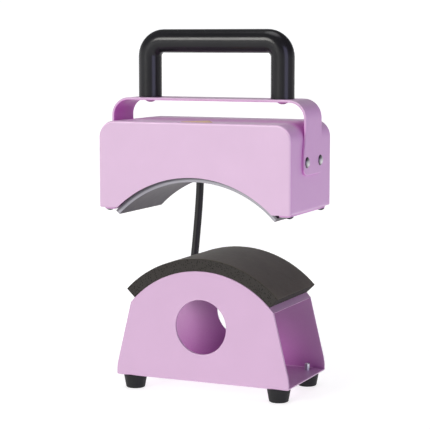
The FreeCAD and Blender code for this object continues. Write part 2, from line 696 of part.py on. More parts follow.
def control_board():
    """The circuit board behind the back wall."""
    low, high = BOARD_Z
    board = block((-BOARD_HALF_LENGTH, BOARD_Y[0], low), (BOARD_HALF_LENGTH, BOARD_Y[1], high))
    for x, z in [(side * STANDOFF_X, height) for side in (-1, 1) for height in STANDOFF_Z]:
        board = board.cut(rod(BOARD_SCREW_RADIUS, (x, BOARD_Y[0] - 1, z), 5, BACK))
    return board


def board_standoff(x, z):
    """A spacer welded to the back wall that carries the board."""
    wall = HEAD_HALF_DEPTH - HEAD_SHEET
    post = hexagon(5.5, (x, BOARD_Y[1], z), wall - BOARD_Y[1], BACK)
    return post.cut(rod(BOARD_SCREW_RADIUS, (x, BOARD_Y[1] - 1, z), 7, BACK))


def board_screw(x, z):
    """The small screw that holds the board on a spacer."""
    seat = (x, BOARD_Y[0], z)
    shank = rod(BOARD_SCREW_RADIUS, seat, BOARD_SCREW_LENGTH, BACK)
    return dome(*BOARD_SCREW_HEAD, seat, BACK * -1).fuse(shank).removeSplitter()


def tact_switch(x):
    """The switch under a button's stem."""
    y = BOARD_Y[1]
    top = y + SWITCH_HEIGHT
    plunger_radius, plunger_height = SWITCH_PLUNGER
    half = SWITCH_HALF
    body = block((x - half, y, CONTROL_Z - half), (x + half, top, CONTROL_Z + half))
    return body.fuse(rod(plunger_radius, (x, top, CONTROL_Z), plunger_height, BACK)).removeSplitter()


def relay():
    """The switching relay on the front of the board."""
    return rounded_edges(block(RELAY_LOW, RELAY_HIGH), SOFT_EDGE, lambda edge: edge.BoundBox.YLength > 5)


def terminal_block():
    """The screw terminals that the mains cores go into."""
    body = block(TERMINAL_LOW, TERMINAL_HIGH)
    radius, y, z, pitch = TERMINAL_SCREW
    middle = (TERMINAL_LOW[0] + TERMINAL_HIGH[0]) / 2
    for step in (-1, 0, 1):
        body = body.cut(rod(radius, (middle + pitch * step, y, z), 6, UP))
    return body


def earth_stud():
    """The welded stud that earths the casing."""
    length = HEAD_HALF_DEPTH - HEAD_SHEET - EARTH_STUD_Y
    return rod(STUD_RADIUS, (EARTH_X, EARTH_STUD_Y, EARTH_Z), length, BACK)


def earth_nut():
    """The nut on the earth stud."""
    across_flats, height = M4_NUT
    seat = (EARTH_X, EARTH_NUT_Y, EARTH_Z)
    return hexagon(across_flats, seat, height, BACK).cut(rod(STUD_RADIUS, seat, height, BACK))


# ---- Mains lead
def strain_relief():
    """The tapered boot around the lead, snapped into the back wall."""
    x = EXIT_X - HEAD_X
    wall = HEAD_HALF_DEPTH - HEAD_SHEET
    inner = rod(8.5, (x, wall - 3, EXIT_Z), 3, BACK)
    neck = rod(7.0, (x, wall, EXIT_Z), HEAD_SHEET, BACK)
    collar = rod(9.0, (x, HEAD_HALF_DEPTH, EXIT_Z), 2.5, BACK)
    collar = rounded_edges(collar, 0.8, lambda edge: edge.BoundBox.YMin > HEAD_HALF_DEPTH + 2)
    boot_start = HEAD_HALF_DEPTH + 2.5
    boot = cone(6.8, 5.1, (x, boot_start, EXIT_Z), EXIT_Y - boot_start, BACK)
    relief = inner.fuse([neck, collar, boot]).removeSplitter()
    groove_count = 5
    for step in range(groove_count):
        y = boot_start + 3.0 + 3.9 * step
        ring = rod(9.5, (x, y, EXIT_Z), 1.4, BACK).cut(rod(4.85, (x, y, EXIT_Z), 1.4, BACK))
        relief = relief.cut(ring)
    return relief.cut(rod(CORD_DIAMETER / 2, (x, 0, EXIT_Z), FAR, BACK))


def power_cord_inner():
    """The lead's sheathed end inside the strain relief."""
    return rod(CORD_DIAMETER / 2, (EXIT_X - HEAD_X, SHEATH_END_Y, EXIT_Z), EXIT_Y - SHEATH_END_Y, BACK)


def core(points):
    """One insulated core or lead inside the head."""
    return tube(points, CORE_DIAMETER)


def above_clamp(x, y, rise):
    """A place straight out from the clamp sheet's curved back."""
    radius = CLAMP_RADII[1]
    turn = math.asin(x / radius)
    return (radius + rise) * math.sin(turn), y, HEAD_ARCH_AXIS_Z + (radius + rise) * math.cos(turn)


def coil_centre():
    """The coil's middle: square to the lead where it joins the coil."""
    last = Vector(*CORD_ROUTE[-1])
    heading = last.sub(Vector(*CORD_ROUTE[-2]))
    heading.z = 0
    heading.normalize()
    turn_radius = COIL_OUTER_RADIUS - CORD_DIAMETER / 2
    return Vector(last.x - heading.y * turn_radius, last.y + heading.x * turn_radius, 0)


def ring_section(grow):
    """The coil's section, grown on all sides, ready to be turned about the coil's axis."""
    corners = [(COIL_INNER_RADIUS - grow, COIL_LIFT - grow, 3.4 + grow),
               (COIL_OUTER_RADIUS + grow, COIL_LIFT - grow, 3.4 + grow),
               (COIL_OUTER_RADIUS + grow, COIL_LIFT + COIL_HEIGHT + grow, 3.4 + grow),
               (COIL_INNER_RADIUS - grow, COIL_LIFT + COIL_HEIGHT + grow, 3.4 + grow)]
    return Part.Face(outline(corners, facing(0)))


def power_cord_coil():
    """The wound length as one ring."""
    ring = ring_section(0).revolve(Vector(0, 0, 0), UP, 360)
    ring.translate(coil_centre())
    return ring


def cord_tie():
    """The band that holds the coil together."""
    band = ring_section(COIL_LIFT).revolve(Vector(0, 0, 0), UP, TIE_WIDTH_ANGLE)
    band = band.cut(ring_section(0).revolve(Vector(0, 0, 0), UP, 360))
    band.rotate(Vector(0, 0, 0), UP, TIE_ANGLE)
    band.translate(coil_centre())
    return band


def tail_points():
    """The short stretch from the top of the coil to the plug."""
    centre = coil_centre()
    y = centre.y + COIL_OUTER_RADIUS - CORD_DIAMETER / 2
    z = COIL_LIFT + COIL_HEIGHT - CORD_DIAMETER / 2
    return [(centre.x - TAIL_START, y, z), (centre.x - TAIL_END, y, z)]


def plug_body():
    """The moulded plug and its tapered neck, lying on the surface."""
    x, y, z = tail_points()[-1]
    neck = cone(5.2, 8.0, (x, y, z), PLUG_RELIEF_LENGTH, ALONG * -1)
    start = x - PLUG_RELIEF_LENGTH + 1
    corners = [(y - PLUG_HALF_WIDTH, 0, 8), (y + PLUG_HALF_WIDTH, 0, 8), (y + PLUG_HALF_WIDTH, 2 * z, 8),
               (y - PLUG_HALF_WIDTH, 2 * z, 8)]
    body = prism(corners, sideways(start), ALONG * -(PLUG_BODY_LENGTH + 1))
    body = rounded_edges(body, 5.0, lambda edge: edge.BoundBox.XMin > start - 1e-4)
    body = rounded_edges(body, 1.0, lambda edge: edge.BoundBox.XMax < start - PLUG_BODY_LENGTH)
    return body.fuse(neck).removeSplitter()


def plug_face():
    """The middle of the plug's front."""
    x, y, z = tail_points()[-1]
    return x - PLUG_RELIEF_LENGTH - PLUG_BODY_LENGTH, y, z


def plug_blade(side):
    """One flat blade."""
    x, y, z = plug_face()
    middle = y + side * 6.35
    blade = block((x - BLADE_LENGTH, middle - 0.75, z + 0.5), (x, middle + 0.75, z + 6.85))
    return blade.cut(rod(1.6, (x - BLADE_LENGTH + 4, middle - 2, z + 3.7), 4, BACK))


def plug_ground_pin():
    """The round earth pin."""
    x, y, z = plug_face()
    pin = rod(2.38, (x, y, z - 7.0), GROUND_PIN_LENGTH, ALONG * -1)
    return rounded_edges(pin, 1.2, lambda edge: edge.BoundBox.XMax < x - GROUND_PIN_LENGTH + 1e-4)


# ---- All pieces, each in its own file
FOOT_NAMES = ["foot_front_left", "foot_rear_left", "foot_front_right", "foot_rear_right"]
foot_places = corners_of(FOOT_X, FOOT_Y)
stud_places = corners_of(STUD_X, STUD_Y)
cap_screw_places = corners_of(CAP_SCREW_X, CAP_SCREW_Y)
standoff_places = [(side * STANDOFF_X, height) for side in (-1, 1) for height in STANDOFF_Z]
sheath_x = EXIT_X - HEAD_X

pieces = {
    "base_shell": base_shell(),
    "base_arch_plate": base_arch_plate(),
    "foam_pad": foam_pad(),
    "foot_washers": group([foot_washer(x, y) for x, y in foot_places]),
    "foot_screws": group([foot_screw(x, y) for x, y in foot_places]),
    "power_cord": tube(CORD_ROUTE, CORD_DIAMETER),
    "power_cord_coil": power_cord_coil(),
    "cord_tie": cord_tie(),
    "power_cord_tail": tube(tail_points(), CORD_DIAMETER),
    "plug_body": plug_body(),
    "plug_blades": group([plug_blade(side) for side in (-1, 1)]),
    "plug_ground_pin": plug_ground_pin(),
}
for name, (x, y) in zip(FOOT_NAMES, foot_places):
    pieces[name] = foot(x, y)

head_pieces = {
    "housing": housing(),
    "end_cap_left": end_cap(-1),
    "end_cap_right": end_cap(1),
    "end_cap_screws": group([end_cap_screw(x, y) for x, y in cap_screw_places]),
    "heat_plate": heat_plate(),
    "heating_element": stack_layer(HEATER_RADII, STACK_HALF_DEPTH),
    "insulation_blanket": stack_layer(BLANKET_RADII, STACK_HALF_DEPTH),
    "clamp_sheet": stack_layer(CLAMP_RADII, STACK_HALF_DEPTH),
    "temperature_sensor": temperature_sensor(),
    "thermal_fuse": thermal_fuse(),
    "support_bracket_left": support_bracket(-1),
    "support_bracket_right": support_bracket(1),
    "support_studs": group([support_stud(x, y) for x, y in stud_places]),
    "stud_spacers": group([stud_spacer(x, y) for x, y in stud_places]),
    "stud_nuts": group([stud_nut(x, y) for x, y in stud_places]),
    "strap_bracket": strap_bracket(),
    "strap_rivets": group([strap_rivet(side, y) for side in (-1, 1) for y in (-RIVET_Y, RIVET_Y)]),
    "handle": handle(),
    "handle_inserts": group([handle_insert(x) for x in (-HANDLE_X, HANDLE_X)]),
    "handle_screws": group([handle_screw(x) for x in (-HANDLE_X, HANDLE_X)]),
    "top_label": top_label(),
    "control_panel": control_panel(),
    "power_button": button(BUTTON_X),
    "level_button": button(-BUTTON_X),
    "indicator_lenses": group([indicator_lens(step * LENS_SPACING) for step in (-1, 0, 1)]),
    "control_board": control_board(),
    "board_standoffs": group([board_standoff(x, z) for x, z in standoff_places]),
    "board_screws": group([board_screw(x, z) for x, z in standoff_places]),
    "tact_switches": group([tact_switch(x) for x in (-BUTTON_X, BUTTON_X)]),
    "relay": relay(),
    "terminal_block": terminal_block(),
    "earth_stud": earth_stud(),
    "earth_nut": earth_nut(),
    "strain_relief": strain_relief(),
    "power_cord_inner": power_cord_inner(),
    "live_core": core([(sheath_x - 2, SHEATH_END_Y, 220.6), (sheath_x - 2, 28, 220.6), (-66, 16.5, 222),
                       (-50, 20, 222.5), (-38, 33, 221.5), (TERMINAL_LOW[0], 33, 221.5)]),
    "neutral_core": core([(sheath_x + 2, SHEATH_END_Y, 220.6), (sheath_x + 2, 30, 220.6), (-63, 23.5, 217.5),
                          (-50, 24, 216.8), (-38, 32, 217.5), (TERMINAL_LOW[0], 32, 217.5)]),
    "earth_core": core([(sheath_x, SHEATH_END_Y, 224.2), (sheath_x, 28, 224.2), (-68, 19.5, 229),
                        (-58, 18, 235), (EARTH_X, 26, EARTH_Z), (EARTH_X, EARTH_STUD_Y, EARTH_Z)]),
    "heater_lead_front": core([(8, RELAY_LOW[1], 222), (8, 12, 222), (12, 1, 220), above_clamp(22, -12, 8),
                               above_clamp(22, -12, 0)]),
    "heater_lead_rear": core([(16, RELAY_LOW[1], 220), (16, 15, 220), (23, 9, 217), above_clamp(29, 8, 7),
                              above_clamp(29, 8, 0)]),
}
for name, shape in head_pieces.items():
    pieces[name] = in_head(shape)

for name, shape in pieces.items():
    shape.exportStep("parts/" + name + ".step")
    solids = shape.Solids
    state = "" if shape.isValid() and solids else "  NOT VALID"
    print(f"{name:24s} solids {len(solids)} volume {sum(solid.Volume for solid in solids):10.1f}{state}")

section_area = math.pi * CORD_DIAMETER ** 2 / 4
cord_length = path_of(CORD_ROUTE).Length
print("cord bends", [round(radius, 1) for radius in bend_radii(CORD_ROUTE)])
print("cord length", round(cord_length, 1), "volume over section times length",
      round(pieces["power_cord"].Volume / (section_area * cord_length), 4))
print("coil centre", coil_centre())
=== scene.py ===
import json
import math

import bpy
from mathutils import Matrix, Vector, noise


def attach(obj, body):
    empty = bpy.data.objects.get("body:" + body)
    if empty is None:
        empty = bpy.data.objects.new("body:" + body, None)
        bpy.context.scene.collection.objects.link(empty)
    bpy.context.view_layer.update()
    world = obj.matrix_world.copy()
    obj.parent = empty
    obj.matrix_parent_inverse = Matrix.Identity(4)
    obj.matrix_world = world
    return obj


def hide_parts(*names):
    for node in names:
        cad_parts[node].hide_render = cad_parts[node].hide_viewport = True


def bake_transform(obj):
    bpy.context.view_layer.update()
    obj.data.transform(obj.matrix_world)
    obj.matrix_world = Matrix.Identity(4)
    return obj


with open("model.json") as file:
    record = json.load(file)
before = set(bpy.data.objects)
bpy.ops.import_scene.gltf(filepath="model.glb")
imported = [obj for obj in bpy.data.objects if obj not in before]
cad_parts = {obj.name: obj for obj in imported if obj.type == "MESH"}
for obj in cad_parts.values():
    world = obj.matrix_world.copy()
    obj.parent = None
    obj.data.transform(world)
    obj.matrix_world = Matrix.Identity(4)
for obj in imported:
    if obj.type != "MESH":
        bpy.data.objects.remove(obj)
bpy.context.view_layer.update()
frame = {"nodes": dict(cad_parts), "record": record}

# Cap press: the pieces that replace the soft and flexible solids, the finishes of all the others, and the
# camera, lights and floor. Blender's units are metres, in the part's own frame.
MM = 0.001

# ---- Camera: where it stands, and its tilt and heading in degrees
CAMERA_PLACE = (0.574, -1.2895, 0.3265)
CAMERA_TILT = 83.38
CAMERA_HEADING = 24.25
CAMERA_LENS = 127.3

# ---- Lead: its diameter in metres, and its route in millimetres from the strain relief to the coil
CORD_DIAMETER = 0.008
CORD_ROUTE = [
    (-80.5, 75.8, 222.0),
    (-80.5, 95.2, 222.0),
    (-81.0, 113.3, 214.2),
    (-82.4, 127.2, 200.6),
    (-84.2, 134.8, 182.6),
    (-86.0, 136.0, 158.6),
    (-88.4, 134.6, 124.0),
    (-91.4, 131.4, 84.0),
    (-92.6, 127.6, 50.0),
    (-88.6, 121.2, 30.0),
    (-78.4, 110.0, 13.4),
    (-63.8, 95.2, 4.8),
    (-49.8, 81.2, 4.8),
]

# The coil's turns: radii and heights in millimetres, and angles along the winding in degrees
COIL_OUTER_TURN = 50.0
COIL_INNER_TURN = 42.0
COIL_LOW_Z = 4.8
COIL_HIGH_Z = 12.8
COIL_STEP = 22.5
COIL_SWEEP = 1305.0
RAMP_IN = (280.0, 360.0)
RAMP_UP = (620.0, 680.0)
RAMP_OUT = (940.0, 1020.0)

# The straight tail into the plug: how far from the coil's middle it starts and ends, in millimetres
TAIL_START = 8.0
TAIL_END = 46.0

# The tie around the coil: its profile is pairs of a share of its width and a height above the turns
TIE_ANGLE = 37.5
TIE_WIDTH = 12.0
TIE_LOWEST = 0.05
TIE_CORNER_STEPS = 8
TIE_PROFILE = [
    (-0.5, 0.05), (-0.5, 0.5), (-0.46, 0.7), (-0.38, 0.6), (-0.2, 0.64), (0.0, 0.65),
    (0.2, 0.64), (0.38, 0.6), (0.46, 0.7), (0.5, 0.5), (0.5, 0.05),
]

# ---- Sponge pad: an arched sheet about an axis along Y, in millimetres and degrees
ARCH_AXIS_Z = 22.2
PAD_RADII = (93.7, 105.2)
PAD_HALF_ANGLE = 46.2
PAD_HALF_DEPTH = 47.2
PAD_GRID_STEPS = (0.75, 1.6, 0.75)
PAD_EDGE_RADIUS = 0.9

# The band under its skin and cut edges that ripples and pores move, how far, and how wide the pores are
SKIN_BAND = 0.3
SKIN_RIPPLE = 0.12
CUT_BAND = 0.2
CUT_RIPPLE = 0.08
PORE_SPACING = 1.5
PORE_REACH = 0.42
PORE_DEPTH = 0.35
SHALLOW_PORE_SHARE = 0.35

# ---- Heating plate: the axis of its arch as X and Z, and how far from it the painted highlight on the edges reaches, in metres
PLATE_AXIS = (-0.0066, 0.0881)
PLATE_HIGHLIGHT_RADIUS = 0.1114


# ---- Camera
def make_camera():
    data = bpy.data.cameras.new("camera")
    data.sensor_width = 36.0
    data.lens = CAMERA_LENS
    data.clip_end = 100.0
    camera = bpy.data.objects.new("camera", data)
    camera.location = CAMERA_PLACE
    camera.rotation_euler = (math.radians(CAMERA_TILT), 0.0, math.radians(CAMERA_HEADING))
    bpy.context.scene.collection.objects.link(camera)
    bpy.context.scene.camera = camera


# ---- Mesh helpers
def mesh_object(name, points, faces):
    """A new smooth-shaded object from points in metres and faces."""
    mesh = bpy.data.meshes.new(name)
    mesh.from_pydata([tuple(point) for point in points], [], faces)
    mesh.validate()
    mesh.polygons.foreach_set("use_smooth", [True] * len(mesh.polygons))
    obj = bpy.data.objects.new(name, mesh)
    bpy.context.scene.collection.objects.link(obj)
    return obj


def ring_strip(ring_a, ring_b, count):
    """Quads between two closed rings of points, given by their first points."""
    pairs = [(i, (i + 1) % count) for i in range(count)]
    return [(ring_a + i, ring_a + after, ring_b + after, ring_b + i) for i, after in pairs]


def dress(piece, *names):
    """Gives a new piece its finishes, in the order of its material slots."""
    for name in names:
        piece.data.materials.append(finishes[name])


def ramp(value, limits):
    """0 before the limits, 1 after them, and smooth between."""
    low, high = limits
    share = min(max((value - low) / (high - low), 0.0), 1.0)
    return share * share * (3 - 2 * share)


# ---- Mains lead
def coil_frame():
    """The coil's middle and the angle at which the lead joins it."""
    last, before = Vector(CORD_ROUTE[-1]), Vector(CORD_ROUTE[-2])
    heading = (last - before).normalized()
    left = Vector((-heading.y, heading.x, 0.0))
    middle = last + left * COIL_OUTER_TURN
    return Vector((middle.x, middle.y, 0.0)), math.degrees(math.atan2(-left.y, -left.x))


def coil_points():
    """Control points of the wound turns: out, in, up, and out again."""
    middle, start = coil_frame()
    # Control points stand outside the turn that the spline makes of them
    spread = 1 / math.cos(math.radians(COIL_STEP / 2))
    points = []
    for i in range(round(COIL_SWEEP / COIL_STEP)):
        turn = (i + 0.5) * COIL_STEP
        inward = ramp(turn, RAMP_IN) - ramp(turn, RAMP_OUT)
        radius = (COIL_OUTER_TURN + (COIL_INNER_TURN - COIL_OUTER_TURN) * inward) * spread
        height = COIL_LOW_Z + (COIL_HIGH_Z - COIL_LOW_Z) * ramp(turn, RAMP_UP)
        angle = math.radians(start + turn)
        points.append((middle.x + radius * math.cos(angle), middle.y + radius * math.sin(angle), height))
    return points


def tail_points():
    """The last stretch, from the top of the coil into the plug."""
    middle = coil_frame()[0]
    y = middle.y + COIL_OUTER_TURN
    return [(middle.x - TAIL_START, y, COIL_HIGH_Z), (middle.x - TAIL_END, y, COIL_HIGH_Z)]


def smooth_line(points):
    """Points along the NURBS spline that has these control points, in metres."""
    curve = bpy.data.curves.new("lead_line", "CURVE")
    curve.dimensions = "3D"
    curve.resolution_u = 12
    spline = curve.splines.new("NURBS")
    spline.points.add(len(points) - 1)
    for target, point in zip(spline.points, points):
        target.co = (point[0] * MM, point[1] * MM, point[2] * MM, 1.0)
    spline.order_u = 3
    spline.use_endpoint_u = True
    holder = bpy.data.objects.new("lead_line", curve)
    bpy.context.scene.collection.objects.link(holder)
    mesh = bpy.data.meshes.new_from_object(holder)
    line = [vertex.co.copy() for vertex in mesh.vertices]
    bpy.data.objects.remove(holder)
    bpy.data.meshes.remove(mesh)
    return line


def tube_along(name, line, radius, sides=20):
    """A round closed tube whose rings follow a line without twisting."""
    points, faces = [], []
    across = None
    for i, place in enumerate(line):
        heading = (line[min(i + 1, len(line) - 1)] - line[max(i - 1, 0)]).normalized()
        if across is None:
            across = heading.orthogonal().normalized()
        across = (across - heading * across.dot(heading)).normalized()
        upward = heading.cross(across)
        for side in range(sides):
            angle = 2 * math.pi * side / sides
            points.append(place + (across * math.cos(angle) + upward * math.sin(angle)) * radius)
        if i:
            faces += ring_strip((i - 1) * sides, i * sides, sides)
    last = (len(line) - 1) * sides
    faces.append(tuple(reversed(range(sides))))
    faces.append(tuple(last + side for side in range(sides)))
    return mesh_object(name, points, faces)


def make_cord():
    """The mains lead with its coil, and the tie around it."""
    line = smooth_line(CORD_ROUTE + coil_points() + tail_points())
    lead = tube_along("mains_lead", line, CORD_DIAMETER / 2)
    dress(lead, "cord_sheath")
    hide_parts("power_cord", "power_cord_coil", "power_cord_tail")
    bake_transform(lead)
    tie = make_tie()


def tie_section():
    """The rounded square around the four turns, as radius and height with outward directions."""
    corner = CORD_DIAMETER / MM / 2
    corners = (
        (COIL_OUTER_TURN, COIL_LOW_Z, -90),
        (COIL_OUTER_TURN, COIL_HIGH_Z, 0),
        (COIL_INNER_TURN, COIL_HIGH_Z, 90),
        (COIL_INNER_TURN, COIL_LOW_Z, 180),
    )
    places = []
    for centre_r, centre_z, start in corners:
        for step in range(TIE_CORNER_STEPS + 1):
            angle = math.radians(start + 90 * step / TIE_CORNER_STEPS)
            out_r, out_z = math.cos(angle), math.sin(angle)
            places.append((centre_r + corner * out_r, centre_z + corner * out_z, out_r, out_z))
    return places


def make_tie():
    """The woven band around the coil, with a raised edge on both sides."""
    middle = coil_frame()[0]
    section = tie_section()
    angle = math.radians(TIE_ANGLE)
    outward = Vector((math.cos(angle), math.sin(angle), 0.0))
    sideways = Vector((-math.sin(angle), math.cos(angle), 0.0))
    points, faces = [], []
    around = len(TIE_PROFILE)
    for radius, height, out_r, out_z in section:
        for across, lift in TIE_PROFILE:
            centre = outward * (radius + out_r * lift)
            z = max(height + out_z * lift, TIE_LOWEST)
            points.append((middle + centre + sideways * across * TIE_WIDTH + Vector((0, 0, z))) * MM)
    for i in range(len(section)):
        faces += ring_strip(i * around, (i + 1) % len(section) * around, around)
    tie = mesh_object("lead_tie", points, faces)
    dress(tie, "tie_nylon")
    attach(tie, "base")
    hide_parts("cord_tie")
    return tie


# ---- Foam pad
def grid_lines(half, step, edge):
    """Places from -half to half, closer together within an edge width of both ends."""
    fine = [edge * i / 4 for i in range(4)]
    count = max(2, round(2 * (half - edge) / step))
    middle = [-half + edge + 2 * (half - edge) * i / count for i in range(count + 1)]
    return [-half + value for value in fine] + middle + [half - value for value in reversed(fine)]


def rounded_block(half, steps, radius):
    """Points and faces of a closed box of grids, its edges rounded, and each face's axis."""
    axes = [grid_lines(h, step, radius) for h, step in zip(half, steps)]
    index, points, faces, face_axes = {}, [], [], []

    def vertex(key):
        if key not in index:
            flat = Vector([axes[axis][key[axis]] for axis in range(3)])
            inner = [half[axis] - radius for axis in range(3)]
            core = Vector([min(max(flat[axis], -inner[axis]), inner[axis]) for axis in range(3)])
            away = flat - core
            index[key] = len(points)
            points.append(core + away.normalized() * radius if away.length > 1e-9 else flat)
        return index[key]

    for axis in range(3):
        u, v = (axis + 1) % 3, (axis + 2) % 3
        for end in (0, len(axes[axis]) - 1):
            for i in range(len(axes[u]) - 1):
                for j in range(len(axes[v]) - 1):
                    keys = []
                    for du, dv in ((0, 0), (1, 0), (1, 1), (0, 1)):
                        key = [0, 0, 0]
                        key[axis], key[u], key[v] = end, i + du, j + dv
                        keys.append(vertex(tuple(key)))
                    faces.append(tuple(keys if end else reversed(keys)))
                    face_axes.append(axis)
    return points, faces, face_axes


def pad_surface(point, half):
    """A faint ripple in the top skin, and small pits in the front and back cut edges."""
    moved = point.copy()
    ripple = abs(noise.noise(point * 0.09) + 0.5 * noise.noise(point * 0.35))
    if point.z > half[2] - SKIN_BAND:
        moved.z -= ripple * SKIN_RIPPLE
    if abs(point.y) > half[1] - CUT_BAND:
        distance = noise.voronoi(point / PORE_SPACING)[0][0]
        pit = max(0.0, 1 - distance / PORE_REACH)
        share = 1 if noise.cell(point / PORE_SPACING) > 0.1 else SHALLOW_PORE_SHARE
        moved.y -= math.copysign(pit * PORE_DEPTH * share + ripple * CUT_RIPPLE, point.y)
    return moved


def make_pad():
    """The sponge pad over the arch: skinned on top, cut open along its edges."""
    inner, outer = PAD_RADII
    middle_radius = (inner + outer) / 2
    half = (middle_radius * math.radians(PAD_HALF_ANGLE), PAD_HALF_DEPTH, (outer - inner) / 2)
    flat, faces, face_axes = rounded_block(half, PAD_GRID_STEPS, PAD_EDGE_RADIUS)
    points = []
    for point in flat:
        along, across, height = pad_surface(point, half)
        angle = along / middle_radius
        radius = middle_radius + height
        points.append(Vector((radius * math.sin(angle), across, ARCH_AXIS_Z + radius * math.cos(angle))) * MM)
    pad = mesh_object("sponge_pad", points, faces)
    dress(pad, "foam", "foam_cut")
    pad.data.polygons.foreach_set("material_index", [0 if axis == 2 else 1 for axis in face_axes])
    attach(pad, "base")
    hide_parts("foam_pad")


# ---- Finishes
def color_mix(nodes):
    """A node that mixes two colours, with its factor, first, second and result sockets."""
    mix = nodes.new("ShaderNodeMix")
    mix.data_type = "RGBA"
    return mix.inputs[0], mix.inputs[6], mix.inputs[7], mix.outputs[2]


class Finish:
    """A node material, with short ways to wire patterns to its shader."""

    def __init__(self, name, color, roughness, metallic=0.0, **sockets):
        self.material = bpy.data.materials.new(name)
        self.material.use_nodes = True
        self.nodes = self.material.node_tree.nodes
        self.links = self.material.node_tree.links
        self.shader = self.nodes["Principled BSDF"]
        self.color = color
        self.shader.inputs["Base Color"].default_value = (*color, 1.0)
        self.shader.inputs["Roughness"].default_value = roughness
        self.shader.inputs["Metallic"].default_value = metallic
        for socket, value in sockets.items():
            self.shader.inputs[socket.replace("_", " ")].default_value = value
        self.coordinates = self.nodes.new("ShaderNodeTexCoord").outputs["Object"]
        self.normal = None

    def stretched(self, scale):
        """Coordinates scaled apart along X, Y and Z."""
        mapping = self.nodes.new("ShaderNodeMapping")
        mapping.inputs["Scale"].default_value = scale
        self.links.new(self.coordinates, mapping.inputs["Vector"])
        return mapping.outputs["Vector"]

    def clouds(self, scale, detail=4.0, roughness=0.55, stretch=None):
        """A noise pattern from 0 to 1, at a scale in features a metre."""
        node = self.nodes.new("ShaderNodeTexNoise")
        node.inputs["Scale"].default_value = scale
        node.inputs["Detail"].default_value = detail
        node.inputs["Roughness"].default_value = roughness
        vector = self.stretched(stretch) if stretch else self.coordinates
        self.links.new(vector, node.inputs["Vector"])
        return node.outputs["Fac"]

    def cells(self, scale):
        """Distance to the nearest of scattered points."""
        node = self.nodes.new("ShaderNodeTexVoronoi")
        node.inputs["Scale"].default_value = scale
        self.links.new(self.coordinates, node.inputs["Vector"])
        return node.outputs["Distance"]

    def weave(self, scale, direction):
        """Bands along one axis."""
        node = self.nodes.new("ShaderNodeTexWave")
        node.bands_direction = direction
        node.inputs["Scale"].default_value = scale
        node.inputs["Distortion"].default_value = 0.6
        self.links.new(self.coordinates, node.inputs["Vector"])
        return node.outputs["Fac"]

    def between(self, pattern, low, high, from_low=0.3, from_high=0.7):
        """A pattern's middle range, spread between two values."""
        node = self.nodes.new("ShaderNodeMapRange")
        node.inputs["From Min"].default_value = from_low
        node.inputs["From Max"].default_value = from_high
        node.inputs["To Min"].default_value = low
        node.inputs["To Max"].default_value = high
        self.links.new(pattern, node.inputs["Value"])
        return node.outputs["Result"]

    def tint(self, pattern, amount, from_low=0.3, from_high=0.7):
        """Varies the colour's brightness by a share of itself."""
        factor, dark, light, result = color_mix(self.nodes)
        dark.default_value = (*[channel * (1 - amount) for channel in self.color], 1.0)
        light.default_value = (*[min(channel * (1 + amount), 1.0) for channel in self.color], 1.0)
        self.links.new(self.between(pattern, 0.0, 1.0, from_low, from_high), factor)
        self.links.new(result, self.shader.inputs["Base Color"])

    def polish(self, pattern, low, high):
        """Varies the roughness between two values."""
        self.links.new(self.between(pattern, low, high), self.shader.inputs["Roughness"])

    def overlay(self, color, share):
        """Lays a colour over the present one, by a share from 0 to 1."""
        factor, below, above, result = color_mix(self.nodes)
        above.default_value = (*color, 1.0)
        self.links.new(self.shader.inputs["Base Color"].links[0].from_socket, below)
        self.links.new(share, factor)
        self.links.new(result, self.shader.inputs["Base Color"])

    def facing(self, axis, none, full):
        """1 where the surface faces one axis, either way, and 0 where it turns from it."""
        normal = self.nodes.new("ShaderNodeTexCoord").outputs["Normal"]
        split = self.nodes.new("ShaderNodeSeparateXYZ")
        self.links.new(normal, split.inputs[0])
        size = self.nodes.new("ShaderNodeMath")
        size.operation = "ABSOLUTE"
        self.links.new(split.outputs[axis], size.inputs[0])
        return self.between(size.outputs[0], 0.0, 1.0, none, full)

    def inside_arch(self, centre, radius, blend=0.0006):
        """1 nearer to an axis along Y, given as X and Z, than a radius, and 0 beyond it."""
        distance = self.nodes.new("ShaderNodeVectorMath")
        distance.operation = "DISTANCE"
        self.links.new(self.stretched((1.0, 0.0, 1.0)), distance.inputs[0])
        distance.inputs[1].default_value = (centre[0], 0.0, centre[1])
        return self.between(distance.outputs["Value"], 1.0, 0.0, radius - blend, radius + blend)

    def both(self, first, second):
        """The product of two shares."""
        product = self.nodes.new("ShaderNodeMath")
        product.operation = "MULTIPLY"
        self.links.new(first, product.inputs[0])
        self.links.new(second, product.inputs[1])
        return product.outputs[0]

    def hollows(self, distance, own_only):
        """1 far inside a hollow, of the piece itself or between pieces, and 0 in the open, by ambient
        occlusion; it masks painted shade.
        """
        node = self.nodes.new("ShaderNodeAmbientOcclusion")
        node.samples = 8
        node.only_local = own_only
        node.inputs["Distance"].default_value = distance
        return self.between(node.outputs["AO"], 1.0, 0.0, 0.3, 0.9)

    def relief(self, pattern, depth, strength=1.0):
        """Raises the pattern by a depth in metres; later ones lie on earlier ones."""
        bump = self.nodes.new("ShaderNodeBump")
        bump.inputs["Distance"].default_value = depth
        bump.inputs["Strength"].default_value = strength
        self.links.new(pattern, bump.inputs["Height"])
        if self.normal:
            self.links.new(self.normal, bump.inputs["Normal"])
        self.normal = bump.outputs["Normal"]
        self.links.new(self.normal, self.shader.inputs["Normal"])
        return self


PINK = (0.63, 0.443, 0.617)
# Painted shade: the darker, more saturated pink laid into hollows
SHADE_PINK = (0.70, 0.22, 0.66)
# Painted light: the violet laid on the casing's end faces, for a dim violet light from the side
END_VIOLET_LIGHT = (0.69, 0.40, 0.70)
# Painted highlight: the paler pink over the casing's long folds
FOLD_HIGHLIGHT = (0.82, 0.58, 0.79)
SCREW_PINK = (0.63, 0.42, 0.608)
# Painted shade: a darker copy of the pink for the base's sheets
SHADED_BASE_PINK = (0.578, 0.386, 0.565)
# Painted shade laid into the base's hollows
BASE_HOLLOW_SHADE = (0.46, 0.12, 0.45)


